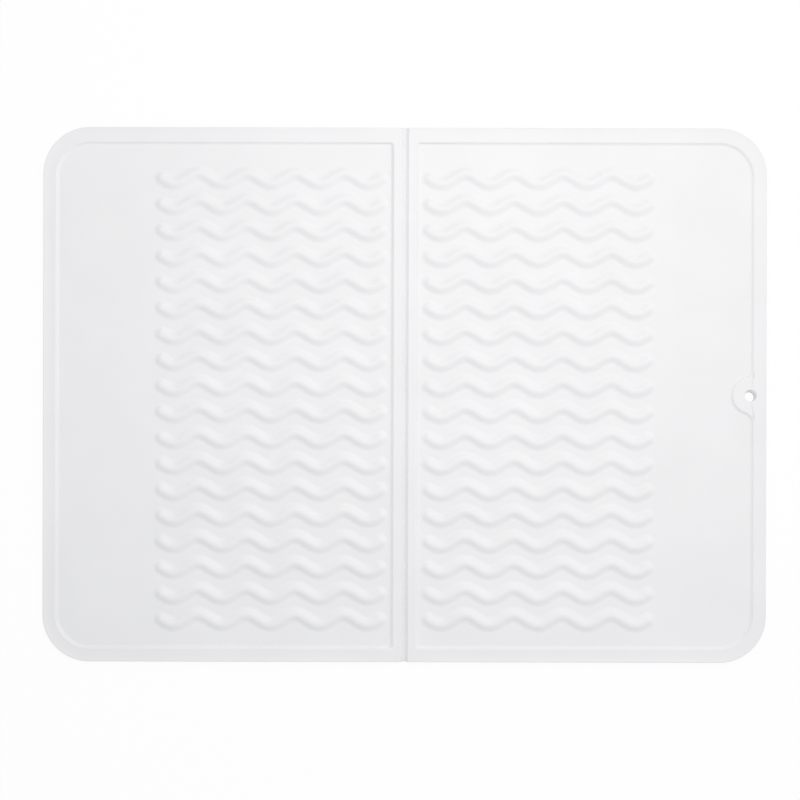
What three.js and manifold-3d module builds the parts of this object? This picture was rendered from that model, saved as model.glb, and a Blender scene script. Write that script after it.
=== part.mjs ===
// Silicone dish drying mat: two shallow trays with wavy ribs, joined by a thin strip so that the
// mat folds in half, and a round eyelet in the right edge to hang it by.
// Millimetres, +Z up, +X to the right, +Y to the back. The origin is the middle of the fold on the
// underside. The real mat is one moulding, and each mesh here is one working region of it.
import * as THREE from 'three';
import { mergeVertices } from 'three/addons/utils/BufferGeometryUtils.js';
import Module from 'manifold-3d';

const wasm = await Module();
wasm.setup();

// Whole mat, seen from above
const matLength = 440;
const matDepth = 325;
const cornerRadius = 28.5;

// The sheet, and the fold between its two halves
const sheetThickness = 1.5;
const foldStripThickness = 1.2;
const foldGrooveWidth = 5;
const foldClearance = 0.3;

// Raised rim round each tray. Widths are taken at half its height; its outer edge slopes down over
// rimEdgeRun by rimEdgeDrop.
const rimHeight = 2.1;
const rimWidth = 8.5;
const rimWallRun = 1.4;
const rimEdgeRun = 2.4;
const rimEdgeDrop = 1.1;

// The rim's narrow stretch along the fold
const beadWidth = 4.55;
const beadWallRun = 0.9;
const trayFoldCornerRadius = 2;

// Hanging eyelet: a boss round the hole, blended into the right rim
const eyeletHoleRadius = 3.5;
const eyeletHoleInset = 9.5;
const eyeletBossRadius = 11.1;
const eyeletBlendRadius = 6;
const eyeletHalfSpan = 17;

// Wavy ribs
const ribRows = 18;
const ribWaves = 4.5;
const ribWidth = 4.2;
const ribHeight = 2;
const ribSideRun = 0.9;
const ribSwing = 3.05;
const ribMarginFold = 5.1;
const ribMarginOuter = 60.6;
const ribMarginBack = 16.4;
const ribMarginFront = 11.2;

// Steps along curves, and how far a cut runs past the body it cuts
const cornerSteps = 8;
const smallCornerSteps = 3;
const eyeletSteps = 6;
const holeSteps = 32;
const stepsPerWave = 8;
const ribEndSteps = 4;
const cutOverrun = 1;

const rimTop = sheetThickness + rimHeight;
const foldEdge = foldGrooveWidth / 2;
const rimFootWidth = rimWidth + rimWallRun / 2;
const rimTopWidth = rimWidth - rimWallRun / 2;
const beadFootWidth = beadWidth + beadWallRun / 2;
const beadTopWidth = beadWidth - beadWallRun / 2;
const holeX = matLength / 2 - eyeletHoleInset;

// Points along an arc, both ends included.
function arc(centreX, centreY, radius, from, to, steps) {
  return Array.from({ length: steps + 1 }, (_, step) => {
    const angle = from + ((to - from) * step) / steps;
    return new THREE.Vector2(centreX + radius * Math.cos(angle), centreY + radius * Math.sin(angle));
  });
}

// A closed body through outlines of equal point count, each at its own height, capped flat.
// Outlines run anticlockwise seen from above, and the levels rise.
function loft(levels) {
  const count = levels[0].outline.length;
  const positions = levels.flatMap(({ outline, z }) => outline.flatMap((point) => [point.x, point.y, z]));
  const indices = [];
  for (let low = 0; low < (levels.length - 1) * count; low += count) {
    const high = low + count;
    for (let here = 0; here < count; here += 1) {
      const next = (here + 1) % count;
      indices.push(low + here, low + next, high + next, low + here, high + next, high + here);
    }
  }
  for (const [a, b, c] of THREE.ShapeUtils.triangulateShape(levels[0].outline, [])) {
    indices.push(c, b, a);
  }
  const top = (levels.length - 1) * count;
  for (const [a, b, c] of THREE.ShapeUtils.triangulateShape(levels.at(-1).outline, [])) {
    indices.push(top + a, top + b, top + c);
  }
  const geometry = new THREE.BufferGeometry();
  geometry.setAttribute('position', new THREE.Float32BufferAttribute(positions, 3));
  geometry.setIndex(indices);
  return geometry;
}

function block(sizeX, sizeY, sizeZ, centreX, centreY, centreZ) {
  return new THREE.BoxGeometry(sizeX, sizeY, sizeZ).translate(centreX, centreY, centreZ);
}

// A three.js geometry as a solid that can be cut and joined.
function solidOf(geometry) {
  const bare = geometry.clone();
  bare.deleteAttribute('normal');
  bare.deleteAttribute('uv');
  const merged = mergeVertices(bare);
  const mesh = new wasm.Mesh({
    numProp: 3,
    vertProperties: new Float32Array(merged.attributes.position.array),
    triVerts: new Uint32Array(merged.index.array),
  });
  return new wasm.Manifold(mesh);
}

function geometryOf(solid) {
  const mesh = solid.getMesh();
  const geometry = new THREE.BufferGeometry();
  geometry.setAttribute('position', new THREE.BufferAttribute(mesh.vertProperties, 3));
  geometry.setIndex(new THREE.BufferAttribute(mesh.triVerts, 1));
  return geometry;
}

// One half's outline, drawn in from its outer edges and from the fold. Its two outer corners stay
// concentric with the mat's. side is 1 for the right half and -1 for the left.
function halfOutline(side, outerInset, foldInset, foldCornerRadius) {
  const inner = foldEdge + foldInset;
  const outer = matLength / 2 - outerInset;
  const back = matDepth / 2 - outerInset;
  const radius = cornerRadius - outerInset;
  const foldCorner = (centreY, from) => (foldCornerRadius > 0
    ? arc(inner + foldCornerRadius, centreY, foldCornerRadius, from, from + Math.PI / 2, smallCornerSteps)
    : [new THREE.Vector2(inner, centreY)]);
  const points = [
    ...arc(outer - radius, radius - back, radius, -Math.PI / 2, 0, cornerSteps),
    ...arc(outer - radius, back - radius, radius, 0, Math.PI / 2, cornerSteps),
    ...foldCorner(back - foldCornerRadius, Math.PI / 2),
    ...foldCorner(foldCornerRadius - back, Math.PI),
  ];
  return side > 0 ? points : points.map((point) => new THREE.Vector2(-point.x, point.y)).reverse();
}

// The flat sheet under a tray.
function sheet(side) {
  const outline = halfOutline(side, 0, 0, 0);
  return loft([{ outline, z: 0 }, { outline, z: sheetThickness }]);
}

// The rim's full outer form, before the tray is cut out of it.
function rimBlank(side) {
  const edge = halfOutline(side, 0, 0, 0);
  return solidOf(loft([
    { outline: edge, z: sheetThickness },
    { outline: edge, z: rimTop - rimEdgeDrop },
    { outline: halfOutline(side, rimEdgeRun, 0, 0), z: rimTop },
  ]));
}

// The space inside a tray, which widens upwards between the sloped rim walls.
function trayCut(side) {
  const foot = halfOutline(side, rimFootWidth, beadFootWidth, trayFoldCornerRadius);
  const mouth = halfOutline(side, rimTopWidth, beadTopWidth, trayFoldCornerRadius);
  return solidOf(loft([
    { outline: foot, z: sheetThickness - cutOverrun },
    { outline: foot, z: sheetThickness },
    { outline: mouth, z: rimTop },
    { outline: mouth, z: rimTop + cutOverrun },
  ]));
}

// The stretch of the right rim that belongs to the eyelet.
function eyeletBay() {
  const reach = eyeletHoleInset + eyeletBossRadius + cutOverrun;
  return solidOf(block(
    reach, 2 * eyeletHalfSpan, rimHeight + 2 * cutOverrun,
    matLength / 2 + cutOverrun - reach / 2, 0, sheetThickness + rimHeight / 2,
  ));
}

function hangingHole() {
  const hole = new THREE.CylinderGeometry(
    eyeletHoleRadius, eyeletHoleRadius, rimTop + 2 * cutOverrun, holeSteps,
  );
  return solidOf(hole.rotateX(Math.PI / 2).translate(holeX, 0, rimTop / 2));
}

// The boss seen from above, grown outwards by spread: a disc round the hole that runs through two
// hollow arcs into the rim's inner wall, closed along the middle of the rim.
function bossOutline(spread) {
  const middleX = matLength / 2 - rimWidth / 2;
  const blendX = matLength / 2 - rimWidth - eyeletBlendRadius;
  const blendY = Math.sqrt((eyeletBossRadius + eyeletBlendRadius) ** 2 - (holeX - blendX) ** 2);
  const lean = Math.atan2(blendY, holeX - blendX);
  const blend = eyeletBlendRadius - spread;
  return [
    new THREE.Vector2(middleX, -blendY),
    new THREE.Vector2(middleX, blendY),
    ...arc(blendX, blendY, blend, 0, -lean, eyeletSteps),
    ...arc(holeX, 0, eyeletBossRadius + spread, Math.PI - lean, Math.PI + lean, 2 * eyeletSteps).slice(1, -1),
    ...arc(blendX, -blendY, blend, lean, 0, eyeletSteps),
  ];
}

function eyelet(rim) {
  const boss = solidOf(loft([
    { outline: bossOutline(rimWallRun / 2), z: sheetThickness },
    { outline: bossOutline(-rimWallRun / 2), z: rimTop },
  ]));
  return geometryOf(rim.intersect(eyeletBay()).add(boss).subtract(hangingHole()));
}

// A rib seen from above: an even band along a sine wave with round ends, from startX to endX.
function ribOutline(startX, endX, centreY, halfWidth) {
  const first = startX + ribWidth / 2;
  const run = endX - startX - ribWidth;
  const turn = (2 * Math.PI * ribWaves) / run;
  const steps = Math.round(ribWaves * stepsPerWave);
  const centreline = Array.from({ length: steps + 1 }, (_, step) => {
    const along = (run * step) / steps;
    const heading = Math.atan(-ribSwing * turn * Math.cos(turn * along));
    return { x: first + along, y: centreY - ribSwing * Math.sin(turn * along), heading };
  });
  const beside = ({ x, y, heading }, angle) => new THREE.Vector2(
    x + halfWidth * Math.cos(heading + angle), y + halfWidth * Math.sin(heading + angle),
  );
  const roundEnd = (end, from) => arc(
    end.x, end.y, halfWidth, end.heading + from, end.heading + from + Math.PI, ribEndSteps,
  ).slice(1, -1);
  return [
    ...centreline.map((point) => beside(point, -Math.PI / 2)),
    ...roundEnd(centreline.at(-1), -Math.PI / 2),
    ...centreline.toReversed().map((point) => beside(point, Math.PI / 2)),
    ...roundEnd(centreline[0], Math.PI / 2),
  ];
}

function rib(side, row) {
  const edge = ribSwing + ribWidth / 2;
  const backY = matDepth / 2 - rimFootWidth - ribMarginBack - edge;
  const frontY = edge + ribMarginFront + rimFootWidth - matDepth / 2;
  const centreY = backY + ((frontY - backY) * row) / (ribRows - 1);
  const nearX = foldEdge + beadFootWidth + ribMarginFold;
  const farX = matLength / 2 - rimFootWidth - ribMarginOuter;
  const [startX, endX] = side > 0 ? [nearX, farX] : [-farX, -nearX];
  return loft([
    { outline: ribOutline(startX, endX, centreY, ribWidth / 2), z: sheetThickness },
    { outline: ribOutline(startX, endX, centreY, ribWidth / 2 - ribSideRun), z: sheetThickness + ribHeight },
  ]);
}

const mat = new THREE.Group();

function addPiece(name, geometry) {
  const silicone = new THREE.MeshStandardMaterial({ color: '#eeeff1', roughness: 0.55, metalness: 0 });
  const piece = new THREE.Mesh(geometry, silicone);
  piece.name = name;
  mat.add(piece);
}

const leftRim = rimBlank(-1).subtract(trayCut(-1));
const rightRim = rimBlank(1).subtract(trayCut(1));

addPiece('left_sheet', sheet(-1));
addPiece('right_sheet', geometryOf(solidOf(sheet(1)).subtract(hangingHole())));
addPiece('left_rim', geometryOf(leftRim));
addPiece('right_rim', geometryOf(rightRim.subtract(eyeletBay())));
addPiece('hanging_eyelet', eyelet(rightRim));
addPiece('fold_strip', block(
  foldGrooveWidth - 2 * foldClearance, matDepth, foldStripThickness,
  0, 0, foldStripThickness / 2,
));
for (const [half, side] of [['left', -1], ['right', 1]]) {
  for (let row = 0; row < ribRows; row += 1) {
    addPiece(`${half}_rib_${String(row + 1).padStart(2, '0')}`, rib(side, row));
  }
}

export default mat;
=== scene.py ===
import math

import bmesh
import bpy
import numpy as np
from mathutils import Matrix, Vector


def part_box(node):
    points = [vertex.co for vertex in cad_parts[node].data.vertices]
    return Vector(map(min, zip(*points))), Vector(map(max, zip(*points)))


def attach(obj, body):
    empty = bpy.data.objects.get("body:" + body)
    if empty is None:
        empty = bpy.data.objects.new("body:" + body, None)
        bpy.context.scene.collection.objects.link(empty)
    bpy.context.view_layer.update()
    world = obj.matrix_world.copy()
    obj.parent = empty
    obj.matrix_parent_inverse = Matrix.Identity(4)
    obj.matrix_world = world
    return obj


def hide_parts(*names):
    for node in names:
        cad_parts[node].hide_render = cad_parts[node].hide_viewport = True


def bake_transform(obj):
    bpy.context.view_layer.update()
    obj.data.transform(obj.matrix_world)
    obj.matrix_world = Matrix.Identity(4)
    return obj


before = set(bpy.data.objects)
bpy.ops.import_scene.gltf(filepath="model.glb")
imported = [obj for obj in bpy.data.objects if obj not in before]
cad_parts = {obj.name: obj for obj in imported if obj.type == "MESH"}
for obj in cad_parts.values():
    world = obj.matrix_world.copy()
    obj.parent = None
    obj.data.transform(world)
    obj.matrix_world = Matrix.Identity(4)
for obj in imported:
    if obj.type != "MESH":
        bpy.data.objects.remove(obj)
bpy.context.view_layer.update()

METRE = 1000
QUARTER = math.pi / 2


def corners_of(node):
    """A node's lowest and highest corner, in millimetres."""
    low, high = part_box(node)
    return np.array(low) * METRE, np.array(high) * METRE


# Sizes that the frame gives
sheet_low, sheet_high = corners_of("right_sheet")
strip_high = corners_of("fold_strip")[1]

HALF_LENGTH = sheet_high[0]
HALF_DEPTH = sheet_high[1]
SHEET_TOP = sheet_high[2]
RIM_TOP = corners_of("right_rim")[1][2]
RIM_HEIGHT = RIM_TOP - SHEET_TOP
FOLD_EDGE = sheet_low[0]
STRIP_HALF = strip_high[0]
STRIP_TOP = strip_high[2]
EYELET_HALF_SPAN = corners_of("hanging_eyelet")[1][1]

# Corners of a half: the two outer ones, those of its outline at the fold, and the tray's there
CORNER_RADIUS = 28.5
FOLD_CORNER_RADIUS = 0.05
TRAY_CORNER_RADIUS = 2.0

# Rim round a tray: its widths at the side, the back and the front are at half its wall's height.
# The crown is highest at its outer lip, falls inwards, and lifts a trace again before the wall.
RIM_WIDTH = 8.2
BACK_RIM_WIDTH = 9.3
FRONT_RIM_WIDTH = 8.5
RIM_LIP_RADIUS = 0.45
RIM_CROWN_FALL = 0.7
RIM_RIDGE_LIFT = 0.06
RIM_WALL_ANGLE = math.radians(56)
RIM_TOP_RADIUS = 1.1
RIM_FOOT_RADIUS = 1.8
UNDERSIDE_EDGE_RADIUS = 0.3

# Bead along the fold with a slightly hollow crown, and the groove between the two beads. The bead's
# width is from the sheet's edge at the fold. Both widths are at half height.
BEAD_WIDTH = 5.1
BEAD_DISH = 0.08
BEAD_WALL_ANGLE = math.radians(52)
BEAD_TOP_RADIUS = 0.8
BEAD_FOOT_RADIUS = 1.0
GROOVE_HALF_WIDTH = 1.25
GROOVE_WALL_ANGLE = math.radians(50)
GROOVE_TOP_RADIUS = 0.6
GROOVE_FOOT_RADIUS = 0.5

# The stretch over which the rim's crown rises to the bead's before it meets the fold
FOLD_APPROACH = 30.0

# The web bends from its edge to WEB_BEND_END from the fold's middle. Its ends stand back by WEB_STEP
# above a level that rises from the first of WEB_STEP_LEVELS to the second while X goes from the
# first of WEB_STEP_X to the second. So the bent part's ends don't lie in one plane with the end of
# the half that folds up over them.
WEB_BEND_END = 1.9
WEB_STEP = 0.1
WEB_STEP_X = (1.9, 2.05)
WEB_STEP_LEVELS = (1.03, 1.33)

# Hanging eyelet. From the crown down to the underside the hole narrows by its draft and its middle
# moves by its lean.
HOLE_RADIUS = 3.5
HOLE_INSET = 9.5
HOLE_EDGE_RADIUS = 0.5
HOLE_DRAFT = 0.4
HOLE_LEAN = (-0.5, -1.0)
HOLE_X = HALF_LENGTH - HOLE_INSET
BOSS_RADIUS = 11.1
BLEND_RADIUS = 6.0

# Wavy ribs: each one's width is at half height, and its centreline swings this far to either side
RIB_ROWS = 18
RIB_WAVES = 4.5
RIB_WIDTH = 5.3
RIB_SWING = 3.05
RIB_WALL_ANGLE = math.radians(32)
RIB_TOP_RADIUS = 3.6
RIB_FOOT_RADIUS = 4.0

# How far a piece reaches into the one under it, out of sight
BURY = 0.2

# Steps along curves
CORNER_STEPS = 32
FOLD_CORNER_STEPS = 6
APPROACH_STEPS = 8
PROFILE_STEPS = 8
CROWN_STEPS = 14
WEB_STEPS = 30
WEB_BEND_STEPS = 24
EYELET_STEPS = 16
STEPS_PER_WAVE = 28
RIB_END_STEPS = 12

# Edges sharper than this are real corners, and gentler ones are smooth
CREASE = math.radians(35)

# Points closer than this are one point, and edges within this of a level lie on it, in metres
MERGE_DISTANCE = 1e-7
LEVEL_TOLERANCE = 1e-6


# Profiles

def shoulder(drop, wall_angle, top_radius, foot_radius):
    """Rounding, straight wall and fillet, each tangent to the next.

    The surface turns down through wall_angle on an arc of top_radius, falls along the straight
    wall, and turns level again on an arc of foot_radius, having fallen by drop in all. Returns the
    runs and the falls of its points.
    """
    turn = np.linspace(0, wall_angle, PROFILE_STEPS + 1)
    top_run = top_radius * np.sin(turn)
    top_fall = top_radius * (1 - np.cos(turn))
    foot_run = foot_radius * (math.sin(wall_angle) - np.sin(turn[::-1]))
    foot_fall = foot_radius * (np.cos(turn[::-1]) - math.cos(wall_angle))
    wall_fall = drop - top_fall[-1] - foot_fall[-1]
    wall_run = wall_fall / math.tan(wall_angle)
    runs = np.concatenate([top_run, top_run[-1] + wall_run + foot_run])
    falls = np.concatenate([top_fall, top_fall[-1] + wall_fall + foot_fall])
    return runs, falls


def run_at(profile, falls):
    """How far a profile has run outwards where it has fallen by each of falls."""
    return np.interp(falls, profile[1], profile[0])


def fall_at(profile, runs):
    """How far a profile has fallen where it has run outwards by each of runs."""
    return np.interp(runs, profile[0], profile[1])


RIM_BENEATH_LIP = RIM_TOP - RIM_LIP_RADIUS
RIM_WALL_HEIGHT = RIM_HEIGHT - RIM_CROWN_FALL + RIM_RIDGE_LIFT
RIM_WALL = shoulder(RIM_WALL_HEIGHT, RIM_WALL_ANGLE, RIM_TOP_RADIUS, RIM_FOOT_RADIUS)
BEAD_WALL = shoulder(RIM_HEIGHT, BEAD_WALL_ANGLE, BEAD_TOP_RADIUS, BEAD_FOOT_RADIUS)
GROOVE_WALL = shoulder(
    RIM_TOP - STRIP_TOP, GROOVE_WALL_ANGLE, GROOVE_TOP_RADIUS, GROOVE_FOOT_RADIUS
)

# Where each crown ends, so that its wall stands at the stated width at half its height
RIM_CROWN_INSET = RIM_WIDTH - run_at(RIM_WALL, RIM_WALL_HEIGHT / 2)
BEAD_CROWN_X = FOLD_EDGE + BEAD_WIDTH - run_at(BEAD_WALL, RIM_HEIGHT / 2)
GROOVE_CROWN_X = GROOVE_HALF_WIDTH + run_at(GROOVE_WALL, (RIM_TOP - STRIP_TOP) / 2)


def crown_height(inset):
    """Height of the rim's crown at each inset from the outer edge.

    With t the share of the way from the lip to the wall, the crown has fallen by the whole fall
    times 1 - (1 - t) cubed, less the ridge's lift times t to the eighth, and stays level past t 1.
    """
    t = np.clip((inset - RIM_LIP_RADIUS) / (RIM_CROWN_INSET - RIM_LIP_RADIUS), 0, 1)
    return RIM_TOP - RIM_CROWN_FALL * (1 - (1 - t) ** 3) + RIM_RIDGE_LIFT * t ** 8


def rim_section():
    """The rim cut across, from its outer foot to the tray's floor: insets from the outer edge and
    heights. A quarter circle turns the upright outer wall into the lip, then crown, then wall."""
    turn = np.linspace(0, QUARTER, PROFILE_STEPS + 1)
    crown = np.linspace(RIM_LIP_RADIUS, RIM_CROWN_INSET, CROWN_STEPS + 1)
    inset = np.concatenate([
        [0], RIM_LIP_RADIUS * (1 - np.cos(turn)), crown[1:], RIM_CROWN_INSET + RIM_WALL[0][1:],
    ])
    height = np.concatenate([
        [SHEET_TOP], RIM_BENEATH_LIP + RIM_LIP_RADIUS * np.sin(turn), crown_height(crown[1:]),
        SHEET_TOP + RIM_WALL_HEIGHT - RIM_WALL[1][1:],
    ])
    return inset, height


def bead_section():
    """The bead cut across, from the web to the tray's floor, with as many points as the rim: its
    distance from the fold's middle and its height. Its crown is a shallow parabola."""
    deepest = fall_at(GROOVE_WALL, GROOVE_CROWN_X - STRIP_HALF)
    groove_fall = np.linspace(deepest, 0, PROFILE_STEPS + 1)
    crown = np.linspace(0, 1, CROWN_STEPS + 1)[1:]
    x = np.concatenate([
        [STRIP_HALF], GROOVE_CROWN_X - run_at(GROOVE_WALL, groove_fall),
        GROOVE_CROWN_X + (BEAD_CROWN_X - GROOVE_CROWN_X) * crown, BEAD_CROWN_X + BEAD_WALL[0][1:],
    ])
    height = np.concatenate([
        [SHEET_TOP], RIM_TOP - groove_fall,
        RIM_TOP - 4 * BEAD_DISH * crown * (1 - crown), RIM_TOP - BEAD_WALL[1][1:],
    ])
    return x, height


# Outlines

def smooth_share(share):
    """Shares of 0 to 1 eased at both ends: the share squared times 3 less twice the share."""
    return share * share * (3 - 2 * share)


def arcs(centre_x, centre_y, radius, angle):
    """One arc for each radius: the centre plus the radius times (cos, sin) of each angle."""
    x = centre_x + np.multiply.outer(radius, np.cos(angle))
    y = centre_y + np.multiply.outer(radius, np.sin(angle))
    return np.stack([x, y], axis=-1)


def quarter_circle(centre_x, centre_y, radius, quarter, steps):
    """One quarter of a circle for each radius, through the given quarter turn."""
    angle = (quarter + np.linspace(0, 1, steps + 1)) * QUARTER
    return arcs(centre_x, centre_y, radius, angle)


def half_loops(edge_inset, edge_height, inner_x, fold_height, fold_radius, share=0, early=False):
    """Loops of the right half, one for each value, as points in space.

    Each runs anticlockwise from the right edge, with two wide outer corners and two small corners
    at the fold. It lies at edge_height round the outer edges and at fold_height along the fold. The
    loops that are early change smoothly from one to the other on the straight stretch before the
    fold, and the others round the small corners. At the back and the front a loop also moves in by
    its share of how much wider the rim is there than at the side.
    """
    edge_inset = np.asarray(edge_inset, float)
    inner_x = np.asarray(inner_x, float)[:, None]
    fold_radius = np.broadcast_to(np.asarray(fold_radius, float), edge_inset.shape)
    share = np.broadcast_to(np.asarray(share, float), edge_inset.shape)[:, None]
    early = np.broadcast_to(np.asarray(early, bool), edge_inset.shape)[:, None]
    side_x = HALF_LENGTH - CORNER_RADIUS
    fold_x = inner_x + fold_radius[:, None]
    back_y = HALF_DEPTH - share * (BACK_RIM_WIDTH - RIM_WIDTH)
    front_y = HALF_DEPTH - share * (FRONT_RIM_WIDTH - RIM_WIDTH)
    fold_inset = (edge_inset + fold_radius)[:, None]
    wide = CORNER_RADIUS - edge_inset
    along = np.linspace(0, 1, APPROACH_STEPS + 1)[:-1]
    near_x = fold_x + FOLD_APPROACH * (1 - along)
    back_line = np.stack(np.broadcast_arrays(near_x, back_y - edge_inset[:, None]), axis=-1)
    front_line = np.stack(np.broadcast_arrays(near_x, edge_inset[:, None] - front_y), axis=-1)
    outlines = np.concatenate([
        quarter_circle(side_x, back_y - CORNER_RADIUS, wide, 0, CORNER_STEPS),
        back_line,
        quarter_circle(fold_x, back_y - fold_inset, fold_radius, 1, FOLD_CORNER_STEPS),
        quarter_circle(fold_x, fold_inset - front_y, fold_radius, 2, FOLD_CORNER_STEPS),
        front_line[:, ::-1],
        quarter_circle(side_x, CORNER_RADIUS - front_y, wide, 3, CORNER_STEPS),
    ], axis=1)
    turn = np.linspace(0, 1, FOLD_CORNER_STEPS + 1)
    outer = np.zeros(CORNER_STEPS + 1)
    in_line = np.concatenate([outer, smooth_share(along), np.ones(len(turn))])
    in_corner = np.concatenate([outer, np.zeros(len(along)), smooth_share(turn)])
    at_fold = np.where(early, in_line, in_corner)
    at_fold = np.concatenate([at_fold, at_fold[:, ::-1]], axis=1)
    edge_height = np.asarray(edge_height, float)[:, None]
    fold_height = np.asarray(fold_height, float)[:, None]
    height = edge_height + at_fold * (fold_height - edge_height)
    return np.concatenate([outlines, height[:, :, None]], axis=-1)


def raised(outlines, heights):
    """Outlines seen from above as loops in space, each at its own height."""
    z = np.broadcast_to(np.asarray(heights, float)[:, None, None], (*outlines.shape[:2], 1))
    return np.concatenate([outlines, z], axis=-1)


# Meshes

def grid_faces(rows, columns, rows_close, columns_close):
    """Corner numbers of the squares between neighbouring rows and columns of a grid of points."""
    row = np.arange(rows if rows_close else rows - 1)[:, None]
    column = np.arange(columns if columns_close else columns - 1)[None, :]
    next_row = (row + 1) % rows
    next_column = (column + 1) % columns
    corners = [
        row * columns + column,
        row * columns + next_column,
        next_row * columns + next_column,
        next_row * columns + column,
    ]
    return np.stack(np.broadcast_arrays(*corners), axis=-1).reshape(-1, 4)


def make_piece(name, points, faces, material, replaced, open_levels=()):
    """A piece of the mat from points in millimetres and faces, closed, facing outwards, smooth but
    for its real corners. At each open level the flat space between its open edges is filled."""
    mesh = bpy.data.meshes.new(name)
    mesh.from_pydata((points.reshape(-1, 3) / METRE).tolist(), [], faces)
    solid = bmesh.new()
    solid.from_mesh(mesh)
    bmesh.ops.remove_doubles(solid, verts=solid.verts, dist=MERGE_DISTANCE)
    for level in open_levels:
        open_edges = [
            edge for edge in solid.edges
            if edge.is_boundary
            and math.isclose(edge.verts[0].co.z, level / METRE, abs_tol=LEVEL_TOLERANCE)
        ]
        bmesh.ops.triangle_fill(solid, edges=open_edges, use_beauty=True, use_dissolve=False)
    bmesh.ops.recalc_face_normals(solid, faces=solid.faces)
    solid.to_mesh(mesh)
    solid.free()
    mesh.polygons.foreach_set("use_smooth", np.ones(len(mesh.polygons), bool))
    mesh.set_sharp_from_angle(angle=CREASE)
    mesh.materials.append(material)
    piece = bpy.data.objects.new(name, mesh)
    bpy.context.scene.collection.objects.link(piece)
    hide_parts(replaced)
    return piece


def mirrored(points, side):
    """Points of the right half as they are, or turned over onto the left half."""
    return points * np.array([side, 1, 1])


# Sheets

def hole_loops(radius, height, angle):
    """The hanging hole's circles, one for each radius and height, with a point at each angle. Both
    the centre and the radius change evenly from the crown down, by the lean and the draft."""
    height = np.asarray(height, float)[:, None]
    depth_share = 1 - height / RIM_TOP
    reach = np.asarray(radius, float)[:, None] - HOLE_DRAFT * depth_share
    x = HOLE_X + HOLE_LEAN[0] * depth_share + reach * np.cos(angle)
    y = HOLE_LEAN[1] * depth_share + reach * np.sin(angle)
    return np.stack(np.broadcast_arrays(x, y, height), axis=-1)


def make_sheet(side, name, replaced, body, material):
    """The flat sheet under a tray: its outline carried up from a small rounding at the underside,
    and on the right half the hanging hole carried through it. The flat top and underside are filled
    between them."""
    turn = np.linspace(0, QUARTER, FOLD_CORNER_STEPS + 1)
    inset = np.append(UNDERSIDE_EDGE_RADIUS * (1 - np.sin(turn)), 0)
    height = np.append(UNDERSIDE_EDGE_RADIUS * (1 - np.cos(turn)), SHEET_TOP)
    inner_x = np.full(len(inset), STRIP_HALF)
    outer = half_loops(inset, height, inner_x, height, FOLD_CORNER_RADIUS)
    rows, columns = outer.shape[:2]
    points = mirrored(outer, side).reshape(-1, 3)
    faces = grid_faces(rows, columns, False, True)
    if side > 0:
        steps = 4 * EYELET_STEPS
        angle = np.arange(steps) * 4 * QUARTER / steps
        hole = hole_loops([HOLE_RADIUS] * 2, [0, SHEET_TOP], angle)
        faces = np.concatenate([faces, grid_faces(2, steps, False, True) + len(points)])
        points = np.concatenate([points, hole.reshape(-1, 3)])
    levels = (0, SHEET_TOP)
    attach(make_piece(name, points, faces.tolist(), material, replaced, levels), body)


# Rims

def make_rim(side, name, replaced, body, material):
    """The raised rim round a tray: loops of the half's outline that follow the rim's section round
    the outer edges and the bead's section along the fold, closed under the sheet's top.

    The left one closes on itself. The right one stops at the eyelet on either side, where its ends
    are capped.
    """
    inset, height = rim_section()
    inner_x, fold_height = bead_section()
    inset = np.concatenate([[BURY], inset, [inset[-1] - BURY]])
    inner_x = np.concatenate([[STRIP_HALF + BURY], inner_x, [inner_x[-1] - BURY]])
    height = np.concatenate([[SHEET_TOP - BURY], height, [SHEET_TOP - BURY]])
    fold_height = np.concatenate([[SHEET_TOP - BURY], fold_height, [SHEET_TOP - BURY]])
    share = np.clip(inset / RIM_CROWN_INSET, 0, 1)
    radius = FOLD_CORNER_RADIUS + share * (TRAY_CORNER_RADIUS - FOLD_CORNER_RADIUS)
    early = inset >= RIM_LIP_RADIUS
    loops = half_loops(inset, height, inner_x, fold_height, radius, share, early)
    if side > 0:
        first = loops[:, :1].copy()
        last = loops[:, -1:].copy()
        first[:, :, 1] = EYELET_HALF_SPAN
        last[:, :, 1] = -EYELET_HALF_SPAN
        loops = np.concatenate([first, loops, last], axis=1)
    rows, columns = loops.shape[:2]
    faces = grid_faces(rows, columns, True, side < 0).tolist()
    if side > 0:
        faces.append([row * columns for row in range(rows)])
        faces.append([row * columns + columns - 1 for row in range(rows)])
    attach(make_piece(name, mirrored(loops, side), faces, material, replaced), body)


# Hanging eyelet

def boss_outline(spread):
    """The eyelet's inner side at each spread outwards from half height, from back to front: along
    the rim's wall, round a hollow arc, round the hole and back the same way."""
    blend_x = HALF_LENGTH - RIM_WIDTH - BLEND_RADIUS
    reach = BOSS_RADIUS + BLEND_RADIUS
    blend_y = math.sqrt(reach ** 2 - (HOLE_X - blend_x) ** 2)
    meeting = math.atan2(blend_y, HOLE_X - blend_x)
    hollow = -meeting * np.linspace(0, 1, EYELET_STEPS + 1)
    round_boss = np.linspace(math.pi - meeting, math.pi + meeting, 3 * EYELET_STEPS + 1)[1:-1]
    back = arcs(blend_x, blend_y, BLEND_RADIUS - spread, hollow)
    boss = arcs(HOLE_X, 0, BOSS_RADIUS + spread, round_boss)
    front = arcs(blend_x, -blend_y, BLEND_RADIUS - spread, -hollow[::-1])
    start = back[:, :1].copy()
    end = front[:, -1:].copy()
    start[..., 1] = EYELET_HALF_SPAN
    end[..., 1] = -EYELET_HALF_SPAN
    return np.concatenate([start, back, boss, front, end], axis=1)


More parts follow.
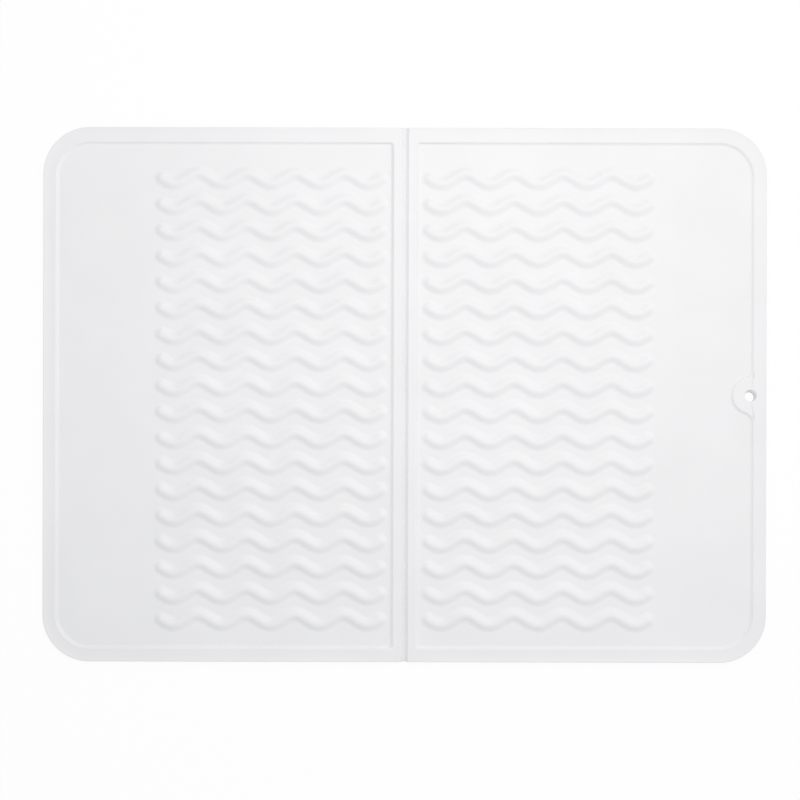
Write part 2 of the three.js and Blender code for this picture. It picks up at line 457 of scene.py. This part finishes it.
def bay_loops(edge_inset, edge_height, spread, wall_height):
    """Closed loops of the eyelet, anticlockwise: along its outer edge to the back, across the rim's
    cut, round the inner side and back across the other cut.

    The outer edge lies at edge_height and the inner side at wall_height. Across a cut, a point
    lies under the crown by its share of how far each of the two has fallen from the first loop.
    """
    inner = boss_outline(spread)
    edge_inset = np.asarray(edge_inset, float)[:, None]
    edge_height = np.asarray(edge_height, float)[:, None]
    wall_height = np.asarray(wall_height, float)[:, None]
    side = np.linspace(-EYELET_HALF_SPAN, EYELET_HALF_SPAN, 2 * EYELET_STEPS + 1)
    crown = np.linspace(0, 1, CROWN_STEPS + 1)[1:-1]
    reach = HALF_LENGTH - inner[:, :1, 0] - edge_inset
    across_x = HALF_LENGTH - edge_inset - reach * crown
    crown_inset = RIM_LIP_RADIUS + (RIM_CROWN_INSET - RIM_LIP_RADIUS) * crown
    crown_top = crown_height(RIM_CROWN_INSET)
    fallen = (1 - crown) * (RIM_TOP - edge_height) + crown * (crown_top - wall_height)
    across_z = crown_height(crown_inset) - fallen
    end = np.full_like(across_x, EYELET_HALF_SPAN)
    back = np.stack([across_x, end, across_z], axis=-1)
    front = np.stack([across_x, -end, across_z], axis=-1)[:, ::-1]
    edge = np.stack(np.broadcast_arrays(HALF_LENGTH - edge_inset, side, edge_height), axis=-1)
    inner = raised(inner, wall_height[:, 0])
    return np.concatenate([edge, back, inner, front], axis=1)


def make_eyelet(name, replaced, body, material):
    """The boss round the hanging hole with its stretch of the rim.

    Loops run up the hole's wall and over its rounded edge, out across the crown in straight lines
    to the crown's outline, down the outer walls, and back under to the hole.
    """
    turn = np.linspace(0, QUARTER, PROFILE_STEPS + 1)
    lip = RIM_LIP_RADIUS * (1 - np.sin(turn))
    steps = len(RIM_WALL[0]) - len(lip)
    edge_inset = np.concatenate([lip, np.zeros(steps), [BURY]])
    edge_height = np.concatenate([
        RIM_BENEATH_LIP + RIM_LIP_RADIUS * np.cos(turn),
        np.linspace(RIM_BENEATH_LIP, SHEET_TOP, steps + 1)[1:], [SHEET_TOP - BURY],
    ])
    spread = RIM_WALL[0] + RIM_CROWN_INSET - RIM_WIDTH
    spread = np.append(spread, spread[-1] - BURY)
    wall_height = np.append(crown_height(RIM_CROWN_INSET) - RIM_WALL[1], SHEET_TOP - BURY)
    outer = bay_loops(edge_inset, edge_height, spread, wall_height)

    angle = np.arctan2(outer[0, :, 1], outer[0, :, 0] - HOLE_X)
    wall = hole_loops([HOLE_RADIUS + BURY, HOLE_RADIUS], [SHEET_TOP - BURY, SHEET_TOP], angle)
    rounding = HOLE_EDGE_RADIUS * (1 - np.cos(turn))
    edge = hole_loops(HOLE_RADIUS + rounding, np.full(len(turn), RIM_TOP), angle)
    edge[..., 2] = crown_height(HALF_LENGTH - edge[-1, :, 0])
    edge[..., 2] -= HOLE_EDGE_RADIUS * (1 - np.sin(turn))[:, None]
    hole = np.concatenate([wall, edge])
    share = np.linspace(0, 1, CROWN_STEPS + 1)[1:-1, None, None]
    crown = hole[-1] + share * (outer[0] - hole[-1])
    crown[..., 2] = crown_height(HALF_LENGTH - crown[..., 0])
    loops = np.concatenate([hole, crown, outer])
    rows, columns = loops.shape[:2]
    faces = grid_faces(rows, columns, True, True).tolist()
    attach(make_piece(name, loops, faces, material, replaced), body)


# Fold

def make_web(side, name, material):
    """Half of the thin web that bends, from the middle of the groove to the bead.

    Its top is the groove's section in X carried along Y, and its underside is flat. Its two ends
    turn over on quarter circles, on the lip's radius above and on the sheet's below, and have a
    small step between the two.
    """
    x = np.concatenate([
        np.linspace(0, WEB_BEND_END, WEB_STEPS + 1),
        np.linspace(WEB_BEND_END, STRIP_HALF, WEB_BEND_STEPS + 1)[1:],
    ])
    z = RIM_TOP - fall_at(GROOVE_WALL, GROOVE_CROWN_X - x)
    turn = np.linspace(0, QUARTER, FOLD_CORNER_STEPS + 1)
    top_end = HALF_DEPTH - WEB_STEP - RIM_LIP_RADIUS * (1 - np.sin(turn))
    low_end = HALF_DEPTH - UNDERSIDE_EDGE_RADIUS * (1 - np.sin(turn))
    step = np.array([HALF_DEPTH - WEB_STEP, HALF_DEPTH])
    y = np.concatenate([-top_end[::-1], top_end, step, low_end[::-1], -low_end, -step[::-1]])
    drop = RIM_LIP_RADIUS * (1 - np.cos(turn))
    lift = UNDERSIDE_EDGE_RADIUS * (1 - np.cos(turn))
    top_z = z[:, None] - np.concatenate([drop[::-1], drop])
    step_z = np.minimum(np.interp(x, WEB_STEP_X, WEB_STEP_LEVELS), z - RIM_LIP_RADIUS)
    step_z = step_z[:, None].repeat(2, axis=1)
    low_z = np.broadcast_to(np.concatenate([lift[::-1], lift]), top_z.shape)
    grid_x, grid_y = np.meshgrid(x, y, indexing="ij")
    grid_z = np.concatenate([top_z, step_z, low_z, step_z], axis=1)
    loops = np.stack([grid_x, grid_y, grid_z], axis=-1)
    rows, columns = loops.shape[:2]
    faces = grid_faces(rows, columns, False, True).tolist()
    faces.append(list(range(columns)))
    faces.append(list(range((rows - 1) * columns, rows * columns)))
    piece = make_piece(name, mirrored(loops, side), faces, material, "fold_strip")
    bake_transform(piece)


# Ribs

def rib_path(low, high):
    """A rib's centreline and its heading: a sine wave along X, which swings to the front first. The
    CAD solid's foot reaches as far past the wave's peaks as past its ends."""
    centre_y = (low[1] + high[1]) / 2
    reach = (high[1] - low[1]) / 2 - RIB_SWING
    first = low[0] + reach
    run = high[0] - low[0] - 2 * reach
    turn = 4 * QUARTER * RIB_WAVES / run
    along = np.linspace(0, run, round(RIB_WAVES * STEPS_PER_WAVE) + 1)
    heading = np.arctan(-RIB_SWING * turn * np.cos(turn * along))
    path = np.stack([first + along, centre_y - RIB_SWING * np.sin(turn * along)], axis=-1)
    return path, heading


def make_rib(name, replaced, body, material):
    """A wavy rib: loops that stay at an even distance from its centreline, round its ends too,
    from the buried foot up the fillet, the wall and the rounding to the line along its crown."""
    low, high = corners_of(replaced)
    path, heading = rib_path(low, high)
    height = high[2] - SHEET_TOP
    runs, falls = shoulder(height, RIB_WALL_ANGLE, RIB_TOP_RADIUS, RIB_FOOT_RADIUS)
    crown = RIB_WIDTH / 2 - np.interp(height / 2, falls, runs)
    distance = np.concatenate([[0], crown + runs, [crown + runs[-1] - BURY, 0]])[::-1]
    level = np.concatenate([[0], falls, [height + BURY, height + BURY]])[::-1]
    sweep = np.linspace(-QUARTER, QUARTER, RIB_END_STEPS + 1)[1:-1]
    ends = len(sweep)
    centre = np.concatenate([
        path, np.repeat(path[-1:], ends, axis=0), path[::-1], np.repeat(path[:1], ends, axis=0),
    ])
    facing = np.concatenate([
        heading - QUARTER, heading[-1] + sweep, heading[::-1] + QUARTER,
        heading[0] + 2 * QUARTER + sweep,
    ])
    beside = np.stack([np.cos(facing), np.sin(facing)], axis=-1)
    outlines = centre[None] + distance[:, None, None] * beside[None]
    loops = raised(outlines, high[2] - level)
    rows, columns = loops.shape[:2]
    faces = grid_faces(rows, columns, False, True).tolist()
    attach(make_piece(name, loops, faces, material, replaced), body)


# Materials

PLAIN_WHITE = (1, 1, 1, 1)


def linear(hex_colour):
    """A colour written as sRGB hex, as linear red, green, blue and alpha."""
    srgb = [int(hex_colour[i:i + 2], 16) / 255 for i in (1, 3, 5)]
    low = [value / 12.92 for value in srgb]
    high = [((value + 0.055) / 1.055) ** 2.4 for value in srgb]
    return [a if value <= 0.04045 else b for value, a, b in zip(srgb, low, high)] + [1]


def add_node(tree, kind, settings=None, inputs=None):
    """Adds a node, sets its properties, and links or fills its inputs."""
    node = tree.nodes.new(kind)
    for key, value in (settings or {}).items():
        setattr(node, key, value)
    for key, value in (inputs or {}).items():
        if isinstance(value, bpy.types.NodeSocket):
            tree.links.new(value, node.inputs[key])
        else:
            node.inputs[key].default_value = value
    return node


def new_material(name):
    """A material with an empty node tree, and its output node."""
    material = bpy.data.materials.new(name)
    material.use_nodes = True
    tree = material.node_tree
    tree.nodes.clear()
    return material, tree, add_node(tree, "ShaderNodeOutputMaterial")


def moulded_silicone():
    """White silicone rubber, compression moulded in a spark-eroded tool.

    To the eye it is a soft milky white with a broad, dull sheen. The tool leaves a fine even grain,
    and the filler a very faint cloudiness in the colour and the sheen.
    """
    silicone_ior = 1.41
    # Patches a few centimetres wide. The noise seldom leaves the middle of its range.
    cloud_mm = 45
    cloud_least, cloud_most = 0.3, 0.7
    dim_white, bright_white = "#efeff0", "#f2f2f3"
    least_rough, most_rough = 0.48, 0.54
    # The tool's own grain is near 0.05 mm, too fine to show, and is drawn at 0.6 mm
    grain_mm = 0.6
    grain_depth_mm = 0.02
    grain_strength = 0.12

    material, tree, output = new_material("moulded_white_silicone")
    place = add_node(tree, "ShaderNodeTexCoord").outputs["Object"]
    cloud = add_node(tree, "ShaderNodeTexNoise", inputs={
        "Vector": place, "Scale": METRE / cloud_mm, "Detail": 3, "Roughness": 0.55,
    })
    cloud_share = add_node(tree, "ShaderNodeMapRange", inputs={
        "Value": cloud.outputs["Fac"], "From Min": cloud_least, "From Max": cloud_most,
        "To Min": 0, "To Max": 1,
    })
    colour = add_node(tree, "ShaderNodeMix", {"data_type": "RGBA"}, {
        "Factor": cloud_share.outputs["Result"],
        "A": linear(dim_white), "B": linear(bright_white),
    })
    grain = add_node(tree, "ShaderNodeTexNoise", inputs={
        "Vector": place, "Scale": METRE / grain_mm, "Detail": 2, "Roughness": 0.5,
    })
    relief = add_node(tree, "ShaderNodeBump", inputs={
        "Height": grain.outputs["Fac"], "Strength": grain_strength,
        "Distance": grain_depth_mm / METRE,
    })
    sheen_spread = add_node(tree, "ShaderNodeMapRange", inputs={
        "Value": cloud.outputs["Fac"], "From Min": cloud_least, "From Max": cloud_most,
        "To Min": least_rough, "To Max": most_rough,
    })
    shader = add_node(tree, "ShaderNodeBsdfPrincipled", inputs={
        "Base Color": colour.outputs["Result"],
        "Roughness": sheen_spread.outputs["Result"],
        "IOR": silicone_ior,
        "Normal": relief.outputs["Normal"],
    })
    tree.links.new(shader.outputs["BSDF"], output.inputs["Surface"])
    return material


def seen_share(tree):
    """A socket that is 1 where a surface is seen by the camera, as a reflection or through
    something clear, and 0 where it only lights other surfaces."""
    rays = add_node(tree, "ShaderNodeLightPath")
    seen = add_node(tree, "ShaderNodeMath", {"operation": "MAXIMUM"}, {
        0: rays.outputs["Is Camera Ray"], 1: rays.outputs["Is Glossy Ray"],
    })
    seen = add_node(tree, "ShaderNodeMath", {"operation": "MAXIMUM"}, {
        0: seen.outputs["Value"], 1: rays.outputs["Is Transmission Ray"],
    })
    return seen.outputs["Value"]


def white_backdrop():
    """A worktop that shows as plain white and is a dull grey to the light that it throws back.

    It shows mostly as a glow of its own, and for the rest as a board that takes the mat's faint
    shadow. Being dull, it sends little light back up into the hanging hole.
    """
    glow_share = 0.92
    material, tree, output = new_material("white_backdrop")
    seen = seen_share(tree)
    dull = add_node(tree, "ShaderNodeBsdfDiffuse", inputs={"Color": linear("#b0b0b0")})
    board = add_node(tree, "ShaderNodeBsdfDiffuse", inputs={"Color": linear("#fcfcfc")})
    glow = add_node(tree, "ShaderNodeEmission", inputs={"Color": PLAIN_WHITE, "Strength": 1})
    shown = add_node(tree, "ShaderNodeMixShader", inputs={
        0: glow_share, 1: board.outputs["BSDF"], 2: glow.outputs["Emission"],
    })
    surface = add_node(tree, "ShaderNodeMixShader", inputs={
        0: seen, 1: dull.outputs["BSDF"], 2: shown.outputs["Shader"],
    })
    tree.links.new(surface.outputs["Shader"], output.inputs["Surface"])
    return material


# Stage, light and camera

def make_floor():
    """The worktop just under the mat, a square wide enough to fill the view, in metres."""
    half = 3
    drop = 0.0002
    mesh = bpy.data.meshes.new("worktop")
    mesh.from_pydata(
        [(-half, -half, -drop), (half, -half, -drop), (half, half, -drop), (-half, half, -drop)],
        [], [(0, 1, 2, 3)],
    )
    mesh.materials.append(white_backdrop())
    floor = bpy.data.objects.new("worktop", mesh)
    bpy.context.scene.collection.objects.link(floor)


def make_world(strength):
    """An even room, a trace cooler than white, that lights the mat at the given strength and shows
    as plain white."""
    world = bpy.data.worlds.new("white_room")
    bpy.context.scene.world = world
    world.use_nodes = True
    tree = world.node_tree
    tree.nodes.clear()
    output = add_node(tree, "ShaderNodeOutputWorld")
    seen = seen_share(tree)
    light = add_node(tree, "ShaderNodeBackground", inputs={
        "Color": linear("#fcfdff"), "Strength": strength,
    })
    white = add_node(tree, "ShaderNodeBackground", inputs={"Color": PLAIN_WHITE, "Strength": 1})
    both = add_node(tree, "ShaderNodeMixShader", inputs={
        0: seen, 1: light.outputs["Background"], 2: white.outputs["Background"],
    })
    tree.links.new(both.outputs["Shader"], output.inputs["Surface"])


def make_lamp(name, place, size, power):
    """A square soft box, a trace warmer than white, that faces the middle of the mat. Its place and
    size are in metres and its power in watts."""
    light = bpy.data.lights.new(name, "AREA")
    light.shape = "SQUARE"
    light.size = size
    light.energy = power
    light.color = linear("#fffcf9")[:3]
    lamp = bpy.data.objects.new(name, light)
    place = np.array(place, float)
    lamp.location = place
    tilt = math.acos(place[2] / np.linalg.norm(place))
    lamp.rotation_euler = (tilt, 0, math.atan2(place[1], place[0]) + QUARTER)
    bpy.context.scene.collection.objects.link(lamp)


def make_camera():
    """A camera straight above the mat, at the given distance over its rim.

    The picture is 800 by 800 pixels, and picture_scale is how many metres of the mat's top one
    pixel shows. Aim and roll are where the camera stands over the mat and how far it is turned.
    """
    picture_width = 800
    picture_scale = 0.000608
    distance = 0.8
    sensor_mm = 36
    aim = (-0.00285, -0.0031)
    roll = math.radians(0.14)
    nearest, farthest = 0.01, 10
    data = bpy.data.cameras.new("camera")
    data.sensor_width = sensor_mm
    data.lens = sensor_mm * distance / (picture_width * picture_scale)
    data.clip_start = nearest
    data.clip_end = farthest
    camera = bpy.data.objects.new("camera", data)
    camera.location = (*aim, RIM_TOP / METRE + distance)
    camera.rotation_euler = (0, 0, roll)
    bpy.context.scene.collection.objects.link(camera)
    bpy.context.scene.camera = camera


bpy.context.scene.view_settings.view_transform = "Standard"
make_camera()
make_floor()
make_world(strength=0.71)
make_lamp("key_soft_box", place=(0.07, 0.21, 0.51), size=0.35, power=0.88)
make_lamp("side_soft_box", place=(1.0, 0.2, 0.8), size=0.8, power=1.8)

silicone = moulded_silicone()
for side, half in ((-1, "left"), (1, "right")):
    body = f"{half}_half"
    make_sheet(side, f"{half}_tray_floor", f"{half}_sheet", body, silicone)
    make_rim(side, f"{half}_raised_rim", f"{half}_rim", body, silicone)
    make_web(side, f"{half}_fold_web", silicone)
    for row in range(1, RIB_ROWS + 1):
        make_rib(f"{half}_wavy_rib_{row:02d}", f"{half}_rib_{row:02d}", body, silicone)
make_eyelet("hanging_boss", "hanging_eyelet", "right_half", silicone)
